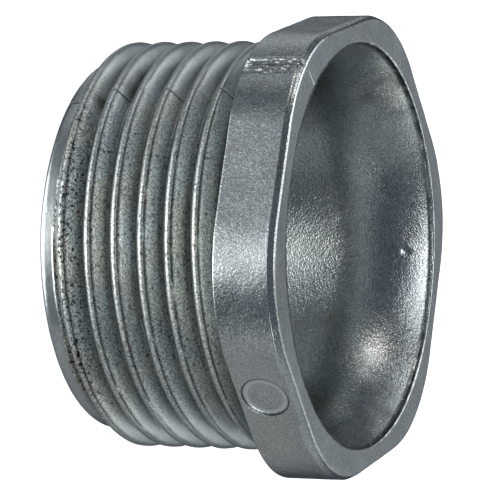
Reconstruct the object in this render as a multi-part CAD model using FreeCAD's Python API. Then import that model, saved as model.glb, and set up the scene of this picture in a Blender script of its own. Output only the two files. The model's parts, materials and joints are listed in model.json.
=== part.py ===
import FreeCAD, Part
import math
import os

# A die-cast conduit chase nipple: a short threaded tube with a thin six-sided head and a flared mouth.
# It is one casting, so it is one solid. It stands on its thread end, with the mouth up along +Z.
# Lengths are in millimetres and angles in degrees.

# Thread: straight pipe thread of trade size 3/4, right-handed, with flat crests and sharp roots
thread_diameter = 26.3
threads_per_inch = 14.0
thread_flank_angle = 30.0
thread_crest_flat = 0.32
thread_end_angle = 15.0

# Shank under the head
shank_length = 13.1
lead_band_length = 1.0
lead_band_above_root = 0.18
lead_edge_chamfer = 0.35
neck_length = 0.95
neck_below_root = 0.12
tube_wall = 1.60
tube_end_chamfer = 0.40

# Six-sided head
head_thickness = 4.0
shoulder_at_flats = 1.10
head_corner_round = 9.0
head_front_edge_chamfer = 0.40
head_back_edge_chamfer = 0.10

# Flare of the mouth: a slow taper out of the throat, a faster one, then a short straight land at the rim
rim_at_flats = 1.35
flare_depth = 6.2
lip_depth = 2.85
lip_angle = 34.0
mouth_land = 0.25

# Round witness mark that the mould leaves on the flat that faces -Y, a little to the -X side of its middle
witness_diameter = 3.0
witness_depth = 0.12
witness_from_front = 2.2
witness_off_middle = 0.3

# Sizes that follow from those above
mm_per_inch = 25.4
pitch = mm_per_inch / threads_per_inch
flank_slope = math.tan(math.radians(thread_flank_angle))
end_slope = math.tan(math.radians(thread_end_angle))
thread_depth = (pitch - thread_crest_flat) / (2 * flank_slope)
crest_radius = thread_diameter / 2
root_radius = crest_radius - thread_depth
lead_radius = root_radius + lead_band_above_root
neck_radius = root_radius - neck_below_root
neck_start = shank_length - neck_length
throat_radius = lead_radius - tube_wall
head_apothem = crest_radius + shoulder_at_flats
mouth_radius = head_apothem - rim_at_flats
lip_radius = mouth_radius - (lip_depth - mouth_land) * math.tan(math.radians(lip_angle))
full_length = shank_length + head_thickness
cut_overrun = 1.0
head_sides = 6

UP = FreeCAD.Vector(0, 0, 1)
CENTRE = FreeCAD.Vector(0, 0, 0)


def at(radius, height):
    """A point of a turned profile, in the XZ plane."""
    return FreeCAD.Vector(radius, 0, height)


def straight(*points):
    """Straight edges from each point to the next."""
    return [Part.LineSegment(a, b).toShape() for a, b in zip(points, points[1:])]


def turned(*points):
    """The solid that a closed profile of straight edges sweeps in one turn about the Z axis."""
    profile = Part.Wire(straight(*points, points[0]))
    return Part.Face(profile).revolve(CENTRE, UP, 360)


def shank_blank():
    """The shank before its thread is cut: lead band, crest cylinder and the neck under the head."""
    return turned(
        at(0, 0),
        at(lead_radius - lead_edge_chamfer, 0),
        at(lead_radius, lead_edge_chamfer),
        at(lead_radius, lead_band_length),
        at(crest_radius, lead_band_length + (crest_radius - lead_radius) * end_slope),
        at(crest_radius, neck_start - (crest_radius - neck_radius) * end_slope),
        at(neck_radius, neck_start),
        at(neck_radius, shank_length),
        at(0, shank_length),
    )


def groove_turn():
    """One right-hand turn of the V groove between two crests. It starts in the XZ plane, at height 0."""
    past_crest = thread_crest_flat / (4 * flank_slope)
    half_width = (thread_depth + past_crest) * flank_slope
    bottom = at(root_radius, 0)
    lower = at(crest_radius + past_crest, -half_width)
    upper = at(crest_radius + past_crest, half_width)
    section = Part.Wire(straight(bottom, lower, upper, bottom))
    helix = Part.makeHelix(pitch, pitch, root_radius)
    return Part.Wire(helix).makePipeShell([section], True, True)


def threaded_shank():
    """The shank with its groove cut turn by turn, from below the lead band up to the neck."""
    shank = shank_blank()
    for turn in range(-1, math.ceil(neck_start / pitch)):
        groove = groove_turn()
        groove.translate(UP * (turn * pitch))
        shank = shank.cut(groove)
    return shank


def head_outline():
    """The rounded hexagon of the head at its back face, with a corner on +X."""
    half_side = math.pi / head_sides
    centre_reach = (head_apothem - head_corner_round) / math.cos(half_side)
    corners = []
    for corner in range(head_sides):
        angle = 2 * half_side * corner
        centre = FreeCAD.Vector(centre_reach * math.cos(angle), centre_reach * math.sin(angle), shank_length)
        corners.append([
            centre + FreeCAD.Vector(math.cos(angle + turn), math.sin(angle + turn), 0) * head_corner_round
            for turn in (-half_side, 0, half_side)
        ])
    edges = []
    for this, following in zip(corners, corners[1:] + corners[:1]):
        edges.append(Part.Arc(*this).toShape())
        edges += straight(this[-1], following[0])
    return Part.Wire(edges)


def level_edges(solid, height):
    """The edges of a solid that lie in one level plane."""
    near = 1e-6
    return [
        edge for edge in solid.Edges
        if all(abs(vertex.Z - height) < near for vertex in edge.Vertexes)
    ]


def head_block():
    """The six-sided head with its front and back edges broken."""
    block = Part.Face(head_outline()).extrude(UP * head_thickness)
    block = block.makeChamfer(head_front_edge_chamfer, level_edges(block, full_length))
    return block.makeChamfer(head_back_edge_chamfer, level_edges(block, shank_length))


def bore():
    """The throat, with a chamfer at the thread end and the flare that opens it to the mouth."""
    return turned(
        at(0, -cut_overrun),
        at(throat_radius + tube_end_chamfer, -cut_overrun),
        at(throat_radius + tube_end_chamfer, 0),
        at(throat_radius, tube_end_chamfer),
        at(throat_radius, full_length - flare_depth),
        at(lip_radius, full_length - lip_depth),
        at(mouth_radius, full_length - mouth_land),
        at(mouth_radius, full_length + cut_overrun),
        at(0, full_length + cut_overrun),
    )


def witness_mark():
    """The shallow round recess in the flat that faces -Y."""
    floor_depth = witness_depth - head_apothem
    floor_centre = FreeCAD.Vector(-witness_off_middle, floor_depth, full_length - witness_from_front)
    outward = FreeCAD.Vector(0, -1, 0)
    return Part.makeCylinder(witness_diameter / 2, witness_depth + cut_overrun, floor_centre, outward)


def chase_nipple():
    """The whole casting."""
    casting = threaded_shank().fuse(head_block())
    return casting.cut(bore()).cut(witness_mark())


os.makedirs("parts", exist_ok=True)
nipple = chase_nipple()
nipple.exportStep("parts/chase_nipple.step")
print("solids", len(nipple.Solids), "valid", nipple.isValid(), "volume", round(nipple.Volume, 1), "mm3")
print("thread depth", round(thread_depth, 3), "throat", round(2 * throat_radius, 2), "mouth", 2 * mouth_radius)
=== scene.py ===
# %% [markdown]
# # A die-cast conduit chase nipple
# This lesson dresses one small fitting: a short tube with a coarse pipe thread, a thin six-sided head
# and a mouth that flares so that wires slide round its edge. The real one is a single zinc casting, so
# the whole lesson builds one closed mesh, one finish for it and the studio around it.

# %% Load the solid model as the frame
import json
import math

import bmesh
import bpy
import numpy as np
from mathutils import Matrix, Vector, noise


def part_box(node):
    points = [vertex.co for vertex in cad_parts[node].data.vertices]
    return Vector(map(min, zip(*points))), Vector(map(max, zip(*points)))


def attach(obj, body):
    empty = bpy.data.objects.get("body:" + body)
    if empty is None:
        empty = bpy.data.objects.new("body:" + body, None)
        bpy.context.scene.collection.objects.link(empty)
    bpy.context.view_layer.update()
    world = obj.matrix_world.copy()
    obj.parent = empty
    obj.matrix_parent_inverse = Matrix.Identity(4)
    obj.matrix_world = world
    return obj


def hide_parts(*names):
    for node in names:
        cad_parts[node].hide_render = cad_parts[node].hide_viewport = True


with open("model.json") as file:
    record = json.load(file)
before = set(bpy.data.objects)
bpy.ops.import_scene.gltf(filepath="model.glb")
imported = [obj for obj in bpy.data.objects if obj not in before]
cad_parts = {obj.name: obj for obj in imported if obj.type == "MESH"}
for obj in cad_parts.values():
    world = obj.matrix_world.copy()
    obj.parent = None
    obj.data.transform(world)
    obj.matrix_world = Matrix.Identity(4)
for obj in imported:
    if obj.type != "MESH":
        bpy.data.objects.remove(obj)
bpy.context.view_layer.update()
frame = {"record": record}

MM = 0.001

# %% [markdown]
# ## Sizes
# A dressed model has to sit exactly where its solid model sits, so most sizes are read from the frame:
# the box gives the length and the head, and the mounts give the throat and the shoulder. What the frame
# doesn't hold, such as the thread, is named here once. All the shape work is done in millimetres, and
# the mesh is scaled to metres at its end.

# %% Read the main sizes from the frame
mounts = {mount["name"]: mount for mount in frame["record"]["mounts"]}
node_top = Vector(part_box("chase_nipple")[1]) / MM
full_length = node_top.z
head_apothem = node_top.y
corner_reach = node_top.x
throat_radius = mounts["wire_throat"]["dims"]["r_mm"]
shank_length = mounts["head_shoulder"]["pos_m"][2] / MM

full_turn = 2 * math.pi
head_sides = 6
half_sector = math.pi / head_sides
corner_round = (head_apothem - corner_reach * math.cos(half_sector)) / (1 - math.cos(half_sector))
print("length", round(full_length, 2), "across flats", round(2 * head_apothem, 2))
print("shank", round(shank_length, 2), "corner round", round(corner_round, 2))

# %% Name the sizes of the thread and the shank
thread_diameter = 26.3
threads_per_inch = 14
mm_per_inch = 25.4
flank_slope = math.tan(math.radians(30))
crest_half_flat = 0.18
crest_soften = 0.32
root_soften = 0.50
crest_radius = thread_diameter / 2
pitch = mm_per_inch / threads_per_inch
root_radius = crest_radius + (crest_half_flat - pitch / 2) / flank_slope

tube_wall = 1.60
tube_end_chamfer = 0.40
lead_edge_round = 0.42
lead_band_end = 1.0
neck_length = 0.95
neck_below_root = 0.10
neck_fillet = 0.25
end_slope = math.tan(math.radians(15))
end_soften = 0.06
lead_radius = throat_radius + tube_wall
neck_radius = root_radius - neck_below_root
neck_start = shank_length - neck_length
print("root radius", round(root_radius, 3), "lead radius", round(lead_radius, 3))
print("turns below the neck", round(neck_start / pitch, 2))

# %% Name the sizes of the head and the mouth
back_edge_round = 0.05
bevel_turn = math.radians(25)
bevel_width = 0.34
front_edge_round = 0.20
edge_guard = 0.02
bevel_inset = bevel_width * math.sin(bevel_turn)
front_inset = bevel_inset + front_edge_round * math.cos(bevel_turn)
front_drop = bevel_width * math.cos(bevel_turn) + front_edge_round * (1 - math.sin(bevel_turn))

rim_at_flats = 1.35
throat_from_front = 6.2
mouth_land = 0.25
mouth_radius = head_apothem - rim_at_flats
flare_depth = throat_from_front - mouth_land
flare_rise = mouth_radius - throat_radius
flare_round = (flare_depth ** 2 + flare_rise ** 2) / (2 * flare_rise)
flare_turn = math.asin(flare_depth / flare_round)
print("flare round", round(flare_round, 2), "mouth angle", round(math.degrees(flare_turn), 1))

# %% [markdown]
# ## A lattice of rings
# The casting is nearly a turned part, so its skin can be laid out as a lattice: columns run round the
# axis and rows follow the section, up the outside and down the inside, until the loop closes. A spun
# profile would give the tube alone. A lattice also takes the six-sided head and the thread, because
# each row may change its radius and its height from column to column. Columns stand closer where a
# small mark needs them.

# %% Choose the columns
wide_step = math.radians(1.35)
parting_angle = math.radians(180.4)
witness_angle = math.radians(270)
blister_angle = math.radians(46.4)

# For each mark: how far its close columns reach to either side, and their step
close_columns = {
    witness_angle: (math.radians(8), math.radians(0.5)),
    parting_angle: (math.radians(3.8), math.radians(0.2)),
    parting_angle - math.pi: (math.radians(2.4), math.radians(0.4)),
    blister_angle: (math.radians(2.4), math.radians(0.4)),
}
columns = np.arange(0, full_turn, wide_step)
for middle, (reach, step) in close_columns.items():
    away = abs((columns - middle + math.pi) % full_turn - math.pi)
    close = np.arange(middle - reach, middle + reach, step) % full_turn
    columns = np.append(columns[away > reach], close)
angles = np.sort(columns)
print("columns", len(angles))

# %% Collect rows of the section
rows = []


def add_row(radius, height):
    """One closed row. Radius and height are each one number or one number for every column."""
    rows.append((radius + 0 * angles, height + 0 * angles))


def quarter_round(steps):
    """Angles of a quarter turn in equal steps, without the first."""
    return np.linspace(0, math.pi / 2, steps + 1)[1:]


print("a quarter round in 3 steps", [round(math.degrees(turn)) for turn in quarter_round(3)])

# %% [markdown]
# ## The thread
# The thread is a 60-degree V with narrow crests, and it climbs one pitch for each turn. If the rows
# stayed level, each crest would cut across them and come out as a saw edge. So these rows climb with
# the thread: a row that starts on a crest stays on it. After one turn each row meets the one that
# started a pitch higher. Rows that would run past the lead band or the neck are held at that level, and
# merge there later.

# %% Work out the shank's radius at any height and angle
def soft_min(a, b, blend):
    """The smaller of two values, with a rounded change from one to the other."""
    return np.minimum(a, b) - np.maximum(blend - abs(a - b), 0) ** 2 / (4 * blend)


def soft_max(a, b, blend):
    """The larger of two values, with a rounded change from one to the other."""
    return -soft_min(-a, -b, blend)


def thread_radius(height, angle):
    """The endless thread: flat crests and V roots, both slightly rounded."""
    turns = height / pitch - angle / full_turn - 0.5
    from_crest = abs(turns - np.round(turns)) * pitch
    near_flank = crest_radius + (crest_half_flat - from_crest) / flank_slope
    far_flank = crest_radius + (crest_half_flat - (pitch - from_crest)) / flank_slope
    groove = soft_max(near_flank, far_flank, root_soften)
    return soft_min(groove, crest_radius, crest_soften)


def shank_radius(height, angle):
    """The thread as it runs in from the lead band and out at the neck."""
    rise = np.clip(lead_radius + (height - lead_band_end) / end_slope, lead_radius, crest_radius)
    fall = np.clip(neck_radius + (neck_start - height) / end_slope, neck_radius, crest_radius)
    return soft_min(thread_radius(height, angle), np.minimum(rise, fall), end_soften)


print("radius at a root", round(thread_radius(0, 0), 3))
print("radius on a crest", round(thread_radius(0, math.pi), 3))

# %% Lay the rows of the lead band
for radius in np.linspace(throat_radius + tube_end_chamfer, lead_radius - lead_edge_round, 3):
    add_row(radius, 0)
for turn in quarter_round(5):
    add_row(
        lead_radius - lead_edge_round * (1 - math.sin(turn)),
        lead_edge_round * (1 - math.cos(turn)),
    )
for height in np.linspace(lead_edge_round, lead_band_end, 7)[1:-1]:
    add_row(shank_radius(height, angles), height)
print("rows below the thread", len(rows))

# %% Lay the rows of the thread, closest on its crests
# Places of the rows below and above the middle of a crest, in millimetres
below_crest = [-0.86, -0.78, -0.66, -0.50, -0.36, -0.26, -0.17, -0.08]
above_crest = [0.08, 0.13, 0.165, 0.20, 0.235, 0.27, 0.34, 0.46, 0.64, 0.78, 0.86]
row_offsets = [-pitch / 2] + below_crest + [0] + above_crest
rows_per_turn = len(row_offsets)
thread_first = len(rows)
for turn in range(-1, math.ceil(neck_start / pitch)):
    for offset in row_offsets:
        start_height = pitch * (turn + 0.5) + offset
        height = np.clip(start_height + pitch * angles / full_turn, lead_band_end, neck_start)
        add_row(shank_radius(height, angles), height)
thread_last = len(rows)
print("thread rows", thread_last - thread_first, "of", rows_per_turn, "per turn")

# %% [markdown]
# ## The head
# The head is a hexagon whose corners are so round that only the middle of each flat is straight. In
# polar form a column meets either a flat or a corner's arc. Pulling the whole outline in by a little
# gives the rows of an edge, so one function draws the shoulder, the rounded back edge, the side, and
# the front edge, which is bevelled and then rounded. Two rows stand close together at the bevel's
# start, to keep that bend tight.

# %% Work out the head's outline
def head_reach(inset):
    """Distance from the axis to the head's rounded hexagon, pulled in by inset, for every column."""
    from_corner = abs((angles + half_sector) % (2 * half_sector) - half_sector)
    arc_centre = (head_apothem - corner_round) / math.cos(half_sector)
    arc = corner_round - inset
    arc_end = math.atan2(arc * math.sin(half_sector), arc_centre + arc * math.cos(half_sector))
    across = arc_centre * np.sin(from_corner)
    on_arc = arc_centre * np.cos(from_corner) + np.sqrt(arc ** 2 - across ** 2)
    on_flat = (head_apothem - inset) / np.cos(half_sector - from_corner)
    return np.where(from_corner < arc_end, on_arc, on_flat)


print("head from", round(head_reach(0).min(), 2), "to", round(head_reach(0).max(), 2), "off the axis")

# %% Lay the rows of the neck and the shoulder
for height in np.linspace(neck_start, shank_length - neck_fillet, 4)[1:]:
    add_row(neck_radius, height)
for turn in quarter_round(3):
    add_row(
        neck_radius + neck_fillet * (1 - math.cos(turn)),
        shank_length - neck_fillet * (1 - math.sin(turn)),
    )
shoulder_inner = neck_radius + neck_fillet
for share in np.linspace(0, 1, 5)[1:]:
    add_row(shoulder_inner + share * (head_reach(back_edge_round) - shoulder_inner), shank_length)
print("rows up to the shoulder", len(rows))

# %% Lay the rows of the head's edges, side and front face
for turn in quarter_round(4):
    add_row(
        head_reach(back_edge_round * (1 - math.sin(turn))),
        shank_length + back_edge_round * (1 - math.cos(turn)),
    )
side_low = shank_length + back_edge_round
side_high = full_length - front_drop
for height in [*np.linspace(side_low, side_high - edge_guard, 32)[1:], side_high]:
    add_row(head_reach(0), height)
for along in (edge_guard, bevel_width / 2, bevel_width):
    add_row(head_reach(along * math.sin(bevel_turn)), side_high + along * math.cos(bevel_turn))
for turn in np.linspace(bevel_turn, math.pi / 2, 7)[1:]:
    add_row(
        head_reach(front_inset - front_edge_round * math.cos(turn)),
        full_length - front_edge_round * (1 - math.sin(turn)),
    )
for share in np.linspace(1, 0, 8)[1:]:
    add_row(mouth_radius + share * (head_reach(front_inset) - mouth_radius), full_length)
print("rows up to the mouth", len(rows))

# %% [markdown]
# ## The flared throat
# Wires are pulled over the mouth, so it has no sharp step inside: behind a short straight land, one arc
# leaves the mouth at about 43 degrees and runs smoothly into the straight throat. At the thread end a
# small chamfer closes the loop of rows.

# %% Lay the rows of the mouth's land, the flare and the throat
flare_top = full_length - mouth_land
for height in np.linspace(full_length, flare_top, 5)[1:]:
    add_row(mouth_radius, height)
for turn in np.linspace(flare_turn, 0, 31)[1:]:
    add_row(
        throat_radius + flare_round * (1 - math.cos(turn)),
        flare_top - flare_depth + flare_round * math.sin(turn),
    )
for height in np.linspace(flare_top - flare_depth, tube_end_chamfer, 9)[1:]:
    add_row(throat_radius, height)
add_row(throat_radius + tube_end_chamfer / 2, tube_end_chamfer / 2)
print("rows in all", len(rows))

# %% [markdown]
# ## One closed mesh
# The rows and columns become points, and each cell of the lattice becomes a face. A level row closes on
# its own first point. A row of the thread closes on the first point of the row one turn higher, which
# is what makes the thread a helix and not a stack of rings. Points that fell together are merged, and
# no edge may then be left with other than two faces.

# %% Join the lattice
def lattice_corners():
    """Numbers of the lattice's points, with one more column that closes each row."""
    corners = np.arange(len(rows) * len(angles)).reshape(len(rows), len(angles))
    closing = corners[:, 0].copy()
    thread = np.arange(thread_first, thread_last)
    closing[thread] = corners[np.minimum(thread + rows_per_turn, thread_last - 1), 0]
    corners = np.column_stack([corners, closing])
    return np.vstack([corners, corners[:1]])


radii, heights = (np.array(values) for values in zip(*rows))
points = np.stack([radii * np.cos(angles), radii * np.sin(angles), heights], axis=-1).reshape(-1, 3)
corners = lattice_corners()
quads = np.stack(
    [corners[:-1, :-1], corners[:-1, 1:], corners[1:, 1:], corners[1:, :-1]],
    axis=-1,
).reshape(-1, 4)

nipple_mesh = bpy.data.meshes.new("chase_nipple_casting")
nipple_mesh.from_pydata((points * MM).tolist(), [], quads.tolist())
nipple = bpy.data.objects.new("chase_nipple_casting", nipple_mesh)
bpy.context.scene.collection.objects.link(nipple)
print("points", len(points), "cells", len(quads))

# %% Merge the points that fell together
merge_within = 0.002
skin = bmesh.new()
skin.from_mesh(nipple_mesh)
bmesh.ops.remove_doubles(skin, verts=skin.verts, dist=merge_within * MM)
bmesh.ops.recalc_face_normals(skin, faces=skin.faces)
open_edges = [edge for edge in skin.edges if len(edge.link_faces) != 2]
print("faces", len(skin.faces), "edges without two faces", len(open_edges))
print("volume mm3", round(skin.calc_volume() / MM ** 3, 1))

# %% [markdown]
# ## Marks of the mould
# A casting is never quite true. Its skin waves a little, a seam shows where the two halves of the mould
# met, the head keeps a torn strip where the runner was broken off, and a pin left a round print on one
# flat. The mouth has some flash, the flare a burst blister, and a fine groove follows each crest.
# Each mark is written as a height above or below the true skin, in millimetres, and later every point
# moves along its normal by their sum. Real geometry is used, and not only a bump, so that the marks
# also show in the outline.

# %% Two helpers for the marks
def ease(value, low, high):
    """0 below low, 1 above high and a smooth climb between them."""
    share = min(max((value - low) / (high - low), 0), 1)
    return share * share * (3 - 2 * share)


def angle_between(a, b):
    """The signed turn from b to a, between half a turn back and half a turn on."""
    return (a - b + math.pi) % full_turn - math.pi


print("ease at a quarter of the way", ease(0.25, 0, 1))

# %% Waves, seam and torn strip
seam_faint = 0.008
seam_deeper = 0.040
gate_low = shank_length + 0.15
gate_high = full_length - front_drop
gate_half_width = 0.62
gate_angle = parting_angle + math.radians(0.5)
gate_hollow = 0.07
gate_roughness = 0.09
gate_lip = 0.05
gate_lip_width = 0.10


def skin_waves(spot):
    """The slow unevenness of an as-cast skin, as noise of three heights and spacings."""
    waves = ((0.018, 2.4), (0.010, 1.0), (0.005, 0.45))
    return sum(height * noise.noise(spot / spacing) for height, spacing in waves)


def parting_seam(spot, angle, radius, outward):
    """A hairline along both sides, where the halves of the mould met."""
    if outward < 0.3:
        return 0
    across = radius * min(abs(angle_between(angle, parting_angle + side)) for side in (0, math.pi))
    wander = 0.05 * noise.noise(Vector((0, 0, spot.z / 0.8)))
    depth = seam_faint + seam_deeper * ease(noise.noise(Vector((5, 0, spot.z / 1.7))), -0.25, 0.20)
    return -depth * (1 - ease(abs(across + wander), 0.03, 0.10))


def gate_strip(spot, angle, radius, outward):
    """The torn strip on one corner of the head: two raised lips with a rough hollow between them."""
    if outward < 0.9 or not gate_low < spot.z < gate_high:
        return 0
    across = abs(radius * angle_between(angle, gate_angle))
    across += 0.10 * noise.noise(Vector((2, 0, spot.z / 0.9)))
    inside = 1 - ease(across, gate_half_width - 0.12, gate_half_width)
    torn = gate_roughness * noise.noise(spot / 0.36) - gate_hollow
    lip = gate_lip * math.exp(-((across - gate_half_width) / gate_lip_width) ** 2)
    return inside * torn + lip * (1 + noise.noise(spot / 0.5))


print("torn strip", 2 * gate_half_width, "wide and", round(gate_high - gate_low, 2), "long")

# %% Print of the pin, flash at the mouth and blister
witness_radius = 1.50
witness_depth = 0.10
witness_off_middle = 0.3
witness_from_front = 2.2
witness_centre = Vector((-witness_off_middle, -head_apothem, full_length - witness_from_front))

burr_side = math.radians(50)
burr_band = 0.03

blister_centre = Vector((8.10, 8.51, 15.59))
blister_depth = 0.12
blister_radius = 0.22
blister_rim_height = 0.03
blister_rim_radius = 0.40
blister_rim_width = 0.14


def witness_print(spot):
    """The shallow round print of a pin on the flat that faces -Y."""
    away = spot - witness_centre
    if abs(away.y) > 0.5:
        return 0
    from_middle = math.hypot(away.x, away.z)
    return -witness_depth * (1 - ease(from_middle, witness_radius - 0.10, witness_radius + 0.04))


def mouth_burr(spot, angle, radius):
    """The broken flash on the mouth's edge, which is largest on one side."""
    if abs(radius - mouth_radius) > burr_band or abs(spot.z - full_length) > burr_band:
        return 0
    size = 0.25 + 0.75 * ease(math.cos(angle - burr_side), -0.4, 0.4)
    return size * max(0.03 + 0.09 * noise.noise(spot / 0.4), 0)


def flare_blister(spot):
    """A burst blister on the flare: a small pit with a raised rim."""
    away = (spot - blister_centre).length
    rim = blister_rim_height * math.exp(-((away - blister_rim_radius) / blister_rim_width) ** 2)
    return rim - blister_depth * math.exp(-(away / blister_radius) ** 2)


print("depth of the print", round(witness_print(witness_centre), 3))
print("depth of the blister", round(flare_blister(blister_centre), 3))

# %% Fine groove along the crests
worn_side = math.radians(232)
groove_past_crest = 0.20
groove_half_width = 0.055
groove_depth = 0.08


def worn_mould(angle):
    """1 on the side where the mould is worn and 0 on the other side."""
    return ease(math.cos(angle - worn_side), 0.35, 0.90)


def on_thread(spot, outward):
    """1 on the thread and 0 elsewhere, with a soft change at both ends of it."""
    if outward < 0.1:
        return 0
    past_lead = ease(spot.z, lead_band_end - 0.05, lead_band_end + 0.15)
    return past_lead * (1 - ease(spot.z, neck_start, neck_start + 0.3))


def crest_groove(spot, angle):
    """1 on the fine broken groove that follows the crest on the head's side."""
    turns = spot.z / pitch - (angle % full_turn) / full_turn - 0.5
    past_crest = (turns - round(turns)) * pitch
    broken = ease(noise.noise(spot / 1.1), -0.6, -0.2) * (0.2 + 0.8 * worn_mould(angle))
    return broken * math.exp(-((past_crest - groove_past_crest) / groove_half_width) ** 2)


print("worn side at", round(math.degrees(worn_side)), "degrees")

# %% [markdown]
# ## Dirt, painted shade and painted highlights
# Painted shade darkens the roots, the space under the head and a few creases, dirt stains some places,
# the throat is darker deep inside, and painted highlights brighten the front edge and a few spots.
# Painting this by hand would be quick, but a formula for each place can be read and changed. Each
# function gives a share of darkening, and a value below zero is painted lighter than the rest. The sum is
# stored on the mesh's points under one name, where the shader can read it.

# %% Painted highlights, painted shade and dirt round the front of the head
edge_highlight_middle = parting_angle + math.radians(11)


def front_edge_highlight(spot, angle, radius, outward):
    """How much highlight is painted on the front edge, most of it by the torn strip. Below zero, further
    round, the edge is painted darker.
    """
    if spot.z < full_length - front_edge_round - 0.03 or radius < mouth_radius + 0.4:
        return 0
    on_edge = ease(outward, 0.10, 0.35) * (1 - ease(outward, 0.80, 0.95))
    past_strip = angle_between(edge_highlight_middle, angle)
    patchy = 0.35 + 0.5 * noise.noise(spot / 0.6)
    painted_highlight = 0.25 * (1 - ease(abs(past_strip), 0.55, 0.90))
    painted_highlight += patchy * (1 - ease(abs(past_strip), 0.12, 0.24))
    return on_edge * (painted_highlight - 0.75 * ease(past_strip, 0.25, 0.60) - 0.40 * ease(-past_strip, 0.60, 1.20))


def bevel_shade_and_light(spot, angle, outward):
    """A painted dark reflection along the front bevel next to the torn strip. Elsewhere the bevel is
    painted lighter.
    """
    above_middle = spot.z - (full_length - front_drop + bevel_width * math.cos(bevel_turn) / 2)
    if abs(above_middle) > bevel_width or not 0.80 < outward < 0.99:
        return 0
    near_strip = 1 - ease(abs(angle_between(angle, edge_highlight_middle)), 0.25, 0.60)
    darkening = 0.75 * math.exp(-(above_middle / 0.06) ** 2) * ease(noise.noise(spot / 0.5), -0.5, 0.1)
    return darkening * near_strip - 0.35 * (1 - near_strip)


def face_grime(spot, angle, upward):
    """The thin dirt on the front face, on the side where the mould is worn."""
    if upward < 0.9 or spot.z < full_length - 0.01:
        return 0
    return 0.30 * ease(math.cos(angle - worn_side), 0.90, 0.98)


def mouth_shade_and_highlight(spot, radius):
    """Painted shade on the mouth's short land, and painted highlights on bits of its flash."""
    if abs(radius - mouth_radius) > 0.05 or spot.z < full_length - mouth_land - 0.01:
        return 0
    if spot.z > full_length - burr_band:
        return -0.9 * ease(noise.noise(spot / 0.35), -0.05, 0.25)
    return 0.7 * ease(noise.noise(spot / 0.7), -0.3, 0.3)


print("front edge rubbed round", round(math.degrees(edge_highlight_middle), 1), "degrees")

# %% Painted shade, stains and painted light on the thread and under the head
# Each has its middle, its reach in millimetres and its strength: above zero a dark stain, below zero
# painted light
stains_and_painted_light = (
    (Vector((-12.3, -0.3, 2.5)), 0.55, 0.60),
    (Vector((-12.2, 0.9, 4.3)), 0.90, 0.50),
    (Vector((-11.9, 2.6, 4.3)), 0.60, 0.45),
    (Vector((-8.1, -9.4, 2.6)), 1.40, -0.16),
    (Vector((-8.1, -9.4, 6.2)), 1.70, -0.26),
    (Vector((-8.74, -12.21, 13.3)), 0.50, -0.50),
)


def root_shade_and_dirt(radius):
    """Painted shade in the roots and on the lower flanks of the thread, which are also dirty. Below zero,
    the crests and upper flanks are painted lighter.
    """
    return 0.74 * ease(crest_radius - radius, 0.60, 1.26) - 0.14


def stain_and_painted_light(spot):
    """Dirty dark marks on the first turns and, below zero, painted light: a highlight on the head's side
    and lighter patches on the thread.
    """
    return sum(
        depth * math.exp(-((spot - middle).length / reach) ** 2)
        for middle, reach, depth in stains_and_painted_light
    )


def neck_shade(spot, radius, outward):
    """Painted shade under the head: on the neck and on the flank that faces the head."""
    if outward < 0.1 or radius > crest_radius or spot.z > shank_length:
        return 0
    near_head = ease(spot.z, neck_start - 0.90, neck_start - 0.55)
    return 0.24 * near_head * ease(crest_radius - radius, 0.1, 0.4)


# Spots below zero are painted light, and a root's value is painted shade together with dirt.
print("stains and clean spots", len(stains_and_painted_light), "dirt in a root", round(root_shade_and_dirt(root_radius), 2))

# %% Darker and lighter places in the throat
# Each patch has its middle and its reach in degrees, and its strength
flare_patches = ((106, 20, 0.50), (72, 12, -0.22), (40, 10, -0.25), (-12, 14, 0.40))


def throat_tone(spot, angle, outward):
    """Darker deep in the throat, and patches on the flare: above zero a dull film, below zero lighter."""
    if outward > -0.5:
        return 0
    on_flare = sum(
        strength * math.exp(-(angle_between(angle, math.radians(middle)) / math.radians(reach)) ** 2)
        for middle, reach, strength in flare_patches
    )
    on_flare *= ease(spot.z, full_length - 3.6, full_length - 1.6) * (1 + noise.noise(spot / 1.1))
    darker_top = 5.0 + 9.5 * ease(math.cos(angle - worn_side), 0.0, 0.5)
    return 0.55 * (1 - ease(spot.z, darker_top, darker_top + 2)) + on_flare


print("patches on the flare", len(flare_patches))

# %% [markdown]
# ## Put the marks on the mesh
# One loop visits every point, adds up its marks and its dirt, and moves it. It stores two more values
# for the shader: coarse, for how strong the grain is, and dull, for how much rougher the thread is than
# the rest. The grain is coarsest on the side of the thread where the mould is worn, as in the
# photograph.
# The dirt that it adds up also holds painted shade and painted highlights.

# %% Say where the grain is coarse and the skin dull
def skin_coarseness(spot, angle, outward, upward, threaded):
    """How coarse the grain is: most on the worn side of the thread and on its first turn."""
    if outward > 0.1:
        on_head = ease(spot.z, neck_start, shank_length)
        first_turn = 1 - ease(spot.z, 2.4, 3.4)
        return 0.12 + 0.28 * on_head + threaded * worn_mould(angle) * (0.95 + 0.4 * first_turn)
    return 0.2 if upward > 0.9 else 0.5


def skin_dullness(spot, outward, threaded):
    """1 on the thread and half of that on the lead band."""
    on_lead_band = spot.z < lead_band_end and outward > 0.3
    return max(threaded, 0.5 if on_lead_band else 0)


print("grain on the front face", skin_coarseness(Vector((0, 0, full_length)), 0, 0, 1, 0))

# %% Move every point and store its dirt, painted shade and painted light
# The seam is darker in colour, the deeper it is.
seam_depth_of_full_dark = 0.06
darkest = 0.8

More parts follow.
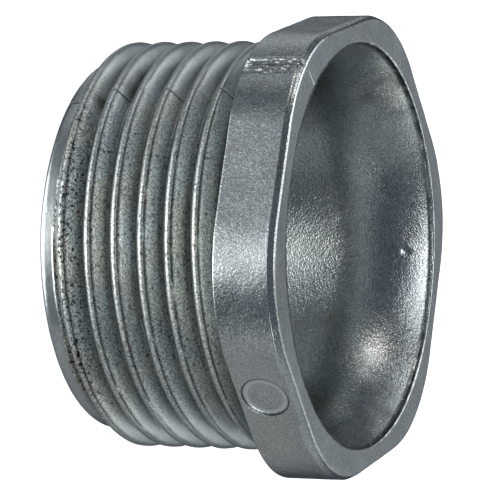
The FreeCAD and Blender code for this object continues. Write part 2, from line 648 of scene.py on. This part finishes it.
grime, coarse, dull = (skin.verts.layers.float.new(name) for name in ("grime", "coarse", "dull"))
deepest, highest = 0, 0
for vertex in skin.verts:
    spot = vertex.co / MM
    radius = math.hypot(spot.x, spot.y)
    angle = math.atan2(spot.y, spot.x)
    upward = vertex.normal.z
    outward = (vertex.normal.x * spot.x + vertex.normal.y * spot.y) / radius
    seam = parting_seam(spot, angle, radius, outward)
    threaded = on_thread(spot, outward)
    # The fine crest groove is cut into the mesh and also painted dark, as shade.
    fine_groove_and_shade = threaded * crest_groove(spot, angle)

    height = skin_waves(spot) + seam + gate_strip(spot, angle, radius, outward)
    height += witness_print(spot) + mouth_burr(spot, angle, radius) + flare_blister(spot)
    height -= groove_depth * fine_groove_and_shade

    # The sum holds dirt, painted shade in the roots, neck, crest groove, mouth's land and bevel, and
    # painted highlights below zero.
    darkening = max(threaded * root_shade_and_dirt(radius), -seam / seam_depth_of_full_dark, fine_groove_and_shade)
    darkening += throat_tone(spot, angle, outward) + mouth_shade_and_highlight(spot, radius) + stain_and_painted_light(spot)
    darkening += bevel_shade_and_light(spot, angle, outward) + neck_shade(spot, radius, outward)
    darkening += face_grime(spot, angle, upward) - front_edge_highlight(spot, angle, radius, outward)

    vertex[grime] = min(darkening, darkest)
    vertex[coarse] = skin_coarseness(spot, angle, outward, upward, threaded)
    vertex[dull] = skin_dullness(spot, outward, threaded)
    vertex.co += vertex.normal * height * MM
    deepest, highest = min(deepest, height), max(highest, height)
print("marks from", round(deepest, 3), "to", round(highest, 3), "mm")

# %% Smooth the faces and hand the skin to the mesh
for face in skin.faces:
    face.smooth = True
skin.to_mesh(nipple_mesh)
skin.free()
print("float values on the points", [a.name for a in nipple_mesh.attributes if a.data_type == "FLOAT"])

# %% [markdown]
# ## The finish: as-cast zinc
# Zinc comes out of the mould a cool grey, with a fine grain, lumps, pores and clouds of thin oxide. A
# metallic shader gives the reflections. Noise in several sizes changes its colour and gloss a little
# from place to place, and the three values on the mesh carry its dirt together with painted shade and
# painted highlights, how coarse it is and how dull it is. A bump does the grain, which is far too fine
# for the mesh. Sums of shader sockets are hard to read as nodes, so a small class lets Python's own
# operators add those nodes.

# %% Wrap sockets so that shader sums read as Python
class Signal:
    """An output socket of a shader. Python's operators on it add Math nodes."""

    def __init__(self, socket):
        self.socket = socket

    @staticmethod
    def node(tree, kind, settings, inputs, output=0):
        """Adds a node: first its settings, then a value or a link for each socket. Returns one output."""
        made = tree.nodes.new("ShaderNode" + kind)
        for name, value in settings.items():
            setattr(made, name, value)
        for name, value in inputs.items():
            if isinstance(value, Signal):
                tree.links.new(value.socket, made.inputs[name])
            else:
                made.inputs[name].default_value = value
        return Signal(made.outputs[output])

    def math(self, operation, first, second):
        """One Math node in this signal's tree."""
        return Signal.node(self.socket.id_data, "Math", {"operation": operation}, {0: first, 1: second})

    def __add__(self, other):
        return self.math("ADD", self, other)

    def __sub__(self, other):
        return self.math("SUBTRACT", self, other)

    def __rsub__(self, other):
        return self.math("SUBTRACT", other, self)

    def __mul__(self, other):
        return self.math("MULTIPLY", self, other)

    __radd__ = __add__
    __rmul__ = __mul__

    def climb(self, low, high):
        """0 where the signal is below low, 1 where it is above high and a smooth climb between."""
        return Signal.node(
            self.socket.id_data,
            "MapRange",
            {"interpolation_type": "SMOOTHSTEP"},
            {"Value": self, "From Min": low, "From Max": high},
        )


def vector_math(tree, operation, inputs, output="Vector"):
    """One Vector Math node."""
    return Signal.node(tree, "VectorMath", {"operation": operation}, inputs, output)


print("a signal has", [name for name in vars(Signal) if not name.startswith("_")])

# %% [markdown]
# ## Single marks in the finish
# A few marks are too small for the lattice and stand alone: five deep pits, one scratch on the front
# face and the ring round the print of the pin. The scratch is painted brighter as a glint, and the
# print has painted shade in its groove and a painted highlight on its ring. Each is made from the
# distance to a point or a line of the part, so it needs no picture and stays in its place when the
# view changes.

# %% Place the pits, the scratch and the ring
deep_pits = (
    (-9.65, -8.01, 7.99),
    (-10.00, -7.42, 2.58),
    (-9.72, -8.05, 11.57),
    (-8.68, -8.43, 4.65),
    (3.06, 11.42, 15.53),
)
scratch_start = (-14.39, 0, full_length)
scratch_way = (0.992, 0.128, 0)
scratch_length = 1.1
scratch_fade = 0.2


def away_from(tree, place, point):
    """Distance in millimetres from a point of the part."""
    return vector_math(tree, "DISTANCE", {0: place, 1: tuple(point)}, "Value")


def scratch(tree, place):
    """1 on the thin straight scratch across the front face."""
    offset = vector_math(tree, "SUBTRACT", {0: place, 1: scratch_start})
    along = vector_math(tree, "DOT_PRODUCT", {0: offset, 1: scratch_way}, "Value")
    aside = vector_math(tree, "CROSS_PRODUCT", {0: offset, 1: scratch_way})
    across = vector_math(tree, "LENGTH", {0: aside}, "Value")
    on_length = along.climb(0.0, 0.1) * (1 - along.climb(scratch_length, scratch_length + scratch_fade))
    return (1 - across.climb(0.02, 0.07)) * on_length


def pin_print_shade_and_highlight(tree, place):
    """1 in the groove round the print of the pin, where shade is painted, and 1 on the ring inside it,
    where a highlight is painted.
    """
    from_print = away_from(tree, place, witness_centre)
    groove_inner = from_print.climb(witness_radius - 0.07, witness_radius - 0.02)
    groove_outer = from_print.climb(witness_radius + 0.02, witness_radius + 0.07)
    ring_inner = from_print.climb(witness_radius - 0.42, witness_radius - 0.26)
    ring_outer = from_print.climb(witness_radius - 0.13, witness_radius - 0.07)
    groove = groove_inner * (1 - groove_outer)
    ring = ring_inner * (1 - ring_outer)
    return groove, ring


print("deep pits", len(deep_pits), "scratch", scratch_length, "mm long")

# %% [markdown]
# ## Mix the zinc
# The base colour is a cool grey, a little warmer in slow patches, times a shade that gathers the noise,
# the dirt, the painted shade and highlights and the single marks. The stored sum and dullness also raise
# the roughness. Sparks are painted glints: tiny bright dots in the colour that stand for glints off the
# facets of the cast skin, and they are left off the thread, which is duller.

# %% Build the zinc
cool_grey = (0.580, 0.630, 0.645)
to_warm_grey = (0.045, 0.015, -0.025)
brightest_shade = 1.45


def as_cast_zinc():
    """Grey die-cast metal with grain, clouds, pores, pits, dirty places, painted shade, painted
    highlights and painted glints.
    """
    material = bpy.data.materials.new("as_cast_zinc")
    material.use_nodes = True
    tree = material.node_tree
    shader = tree.nodes["Principled BSDF"]

    place = Signal.node(tree, "TexCoord", {}, {}, "Object")
    place = vector_math(tree, "SCALE", {0: place, "Scale": 1 / MM})

    def specks(per_mm, detail, roughness):
        """Noise with so many specks to the millimetre."""
        inputs = {"Vector": place, "Scale": per_mm, "Detail": detail, "Roughness": roughness}
        return Signal.node(tree, "TexNoise", {}, inputs, "Fac")

    def stored(name):
        """One of the values that the mesh keeps on its points."""
        return Signal.node(tree, "Attribute", {"attribute_name": name}, {}, "Fac")

    grime, coarse, dull = stored("grime"), stored("coarse"), stored("dull")
    grain = specks(8.0, 2.0, 0.6).climb(0.28, 0.72)
    lumps = specks(3.4, 3.0, 0.65)
    clouds = specks(0.45, 3.0, 0.55)
    pores = (specks(3.6, 2.0, 0.6) + 0.10 * coarse).climb(0.70, 0.78)
    painted_glints = specks(9.0, 1.0, 0.5).climb(0.65, 0.69) * (1 - dull)
    warmth = coarse * specks(0.30, 2.0, 0.5).climb(0.40, 0.60)
    groove, ring = pin_print_shade_and_highlight(tree, place)
    scratch_and_glint = scratch(tree, place)

    # The stored sum darkens the colour for dirt and painted shade, and brightens it below zero for
    # painted highlights.
    shade = (0.60 + 0.40 * lumps + 0.40 * clouds) * (1 - 0.95 * grime)
    shade = shade * (1 + coarse * (1.00 * grain - 0.50)) * (1 - 0.6 * coarse * pores)
    # Painted shade in the groove round the pin's print, and a painted highlight on the ring inside it.
    shade = shade * (1 + 1.3 * lumps * ring - 0.80 * groove)
    for pit in deep_pits:
        outside = (away_from(tree, place, pit) + 0.40 * lumps).climb(0.18, 0.32)
        shade = shade * (0.15 + 0.85 * outside)
    # Painted glints: the sparks and the scratch brighten the colour.
    shade = shade * (1 + 5.0 * coarse * painted_glints + 2.0 * scratch_and_glint)
    shade = shade.math("MINIMUM", shade, brightest_shade)

    tint = vector_math(tree, "MULTIPLY_ADD", {0: warmth, 1: to_warm_grey, 2: cool_grey})
    colour = vector_math(tree, "SCALE", {0: tint, "Scale": shade})
    gloss = 0.15 + 0.10 * lumps + 0.06 * clouds + 0.20 * grime + 0.16 * dull
    height = 0.36 * lumps + coarse * (0.30 * grain - 0.25 * pores) - 0.6 * scratch_and_glint
    bumps = Signal.node(tree, "Bump", {}, {"Height": height, "Distance": 0.05 * MM, "Strength": 1.0})

    shader.inputs["Metallic"].default_value = 1.0
    shader.inputs["Specular Tint"].default_value = (0.55, 0.55, 0.55, 1)
    tree.links.new(colour.socket, shader.inputs["Base Color"])
    tree.links.new(gloss.socket, shader.inputs["Roughness"])
    tree.links.new(bumps.socket, shader.inputs["Normal"])
    print("zinc shader nodes", len(tree.nodes))
    return material


nipple_mesh.materials.append(as_cast_zinc())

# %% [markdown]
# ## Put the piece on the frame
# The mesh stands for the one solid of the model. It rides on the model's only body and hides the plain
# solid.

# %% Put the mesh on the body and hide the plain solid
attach(nipple, "root")
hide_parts("chase_nipple")
print("dressed", nipple.name)

# %% [markdown]
# ## A white paper floor
# The photograph has a plain white ground without a shadow. A diffuse sheet with some glow of its own
# comes out nearly as white in the shade as in the light. The metal shouldn't mirror it all round, so
# rays from the metal pass through the sheet, and the lights below stand in for the part of the paper
# that does show in the metal.

# %% Lay the floor
def paper_floor():
    """A wide white sheet under the thread end."""
    reach = 3.0
    sheet_corners = [(x * reach, y * reach, 0) for x, y in ((-1, -1), (1, -1), (1, 1), (-1, 1))]
    mesh = bpy.data.meshes.new("paper_floor")
    mesh.from_pydata(sheet_corners, [], [(0, 1, 2, 3)])
    paper = bpy.data.materials.new("white_paper")
    paper.use_nodes = True
    shader = paper.node_tree.nodes["Principled BSDF"]
    shader.inputs["Base Color"].default_value = (0.8, 0.8, 0.8, 1)
    shader.inputs["Roughness"].default_value = 1.0
    shader.inputs["Emission Color"].default_value = (1, 1, 1, 1)
    shader.inputs["Emission Strength"].default_value = 0.85
    mesh.materials.append(paper)
    sheet = bpy.data.objects.new("paper_floor", mesh)
    bpy.context.scene.collection.objects.link(sheet)
    sheet.visible_glossy = False
    sheet.visible_diffuse = False
    sheet.visible_shadow = False
    print("paper floor", 2 * reach, "m wide")
    return sheet


paper_floor()

# %% [markdown]
# ## Soft studio light
# Bright metal shows its surroundings, so the lights are set by what they do in it. Each is a wide
# distant disc, given by the direction that it comes from, its width and its brightness as the metal
# mirrors it. A few are slightly warm or green, as the greys in the photograph are. A dim bluish
# surround fills the rest. Lamps with a place and a size would also do, but a distant disc looks the
# same from every point of a small part.

# %% Hang the lights
def soft_light(name, azimuth, elevation, width, brightness, colour=(1, 1, 1)):
    """A distant disc of light. Azimuth runs from +X towards +Y, and all angles are in degrees."""
    lamp = bpy.data.lights.new(name, "SUN")
    lamp.color = colour
    lamp.angle = math.radians(width)
    lamp.energy = brightness * math.pi * math.sin(lamp.angle / 2) ** 2
    turn, lift = math.radians(azimuth), math.radians(elevation)
    toward = Vector((math.cos(turn) * math.cos(lift), math.sin(turn) * math.cos(lift), math.sin(lift)))
    light = bpy.data.objects.new(name, lamp)
    light.rotation_mode = "QUATERNION"
    light.rotation_quaternion = toward.to_track_quat("Z", "Y")
    bpy.context.scene.collection.objects.link(light)


warm, green = (1.06, 1.00, 0.93), (0.98, 1.01, 0.97)
soft_light("paper_below", 220, -62, 54, 3.40, green)
soft_light("paper_left", 142, -24, 26, 0.25)
soft_light("paper_far", 92, -20, 36, 0.45)
soft_light("key_core", 223, -20, 34, 0.44)
soft_light("key_wide", 206, -22, 54, 0.24)
soft_light("over_camera", 228, 72, 24, 2.00)
soft_light("side_low", 140, 0, 22, 2.20)
soft_light("side_high", 153, 21, 12, 4.60, warm)
soft_light("lamp_above", 180, 60, 22, 1.65)
soft_light("window_behind", 92, 53, 54, 1.32)
soft_light("strip_in_front", 280, 0, 22, 2.20, green)
soft_light("wall_far", 6, 48, 54, 1.00, green)
soft_light("wall_corner", 316, 34, 44, 0.16, green)
soft_light("wall_right", 48, 24, 40, 0.23)
soft_light("wall_near", 325, -22, 76, 0.18, warm)
print("lights", len(bpy.data.lights))

# %% Fill the rest with a dim surround
world = bpy.data.worlds.new("dim_studio")
world.use_nodes = True
surround = world.node_tree.nodes["Background"]
surround.inputs["Color"].default_value = (0.82, 0.97, 1.16, 1)
surround.inputs["Strength"].default_value = 0.09
bpy.context.scene.world = world
print("surround", world.name)

# %% [markdown]
# ## The camera
# The photograph looks at the nipple on its side, with the axis level. Here it stands on its thread end,
# so the camera is rolled by a quarter turn. A long lens gives the flat perspective of the picture. The
# standard view is used, so that white paper comes out white.

# %% Set the camera
picture_width = 500
focal_pixels = 3658.0
camera_place = Vector((-145.012, -161.121, 101.113))
camera_right = Vector((0.25420, 0.29617, 0.92069))
camera_up = Vector((-0.74481, 0.66722, -0.00899))

lens = bpy.data.cameras.new("camera")
lens.sensor_width = 36
lens.lens = lens.sensor_width * focal_pixels / picture_width
lens.clip_start = 0.01
lens.clip_end = 20
camera = bpy.data.objects.new("camera", lens)
turned = Matrix((camera_right, camera_up, camera_right.cross(camera_up))).transposed()
camera.matrix_world = Matrix.Translation(camera_place * MM) @ turned.to_4x4()
bpy.context.scene.collection.objects.link(camera)
bpy.context.scene.camera = camera
bpy.context.scene.view_settings.view_transform = "Standard"
print("lens", round(lens.lens, 1), "mm")

# %% [markdown]
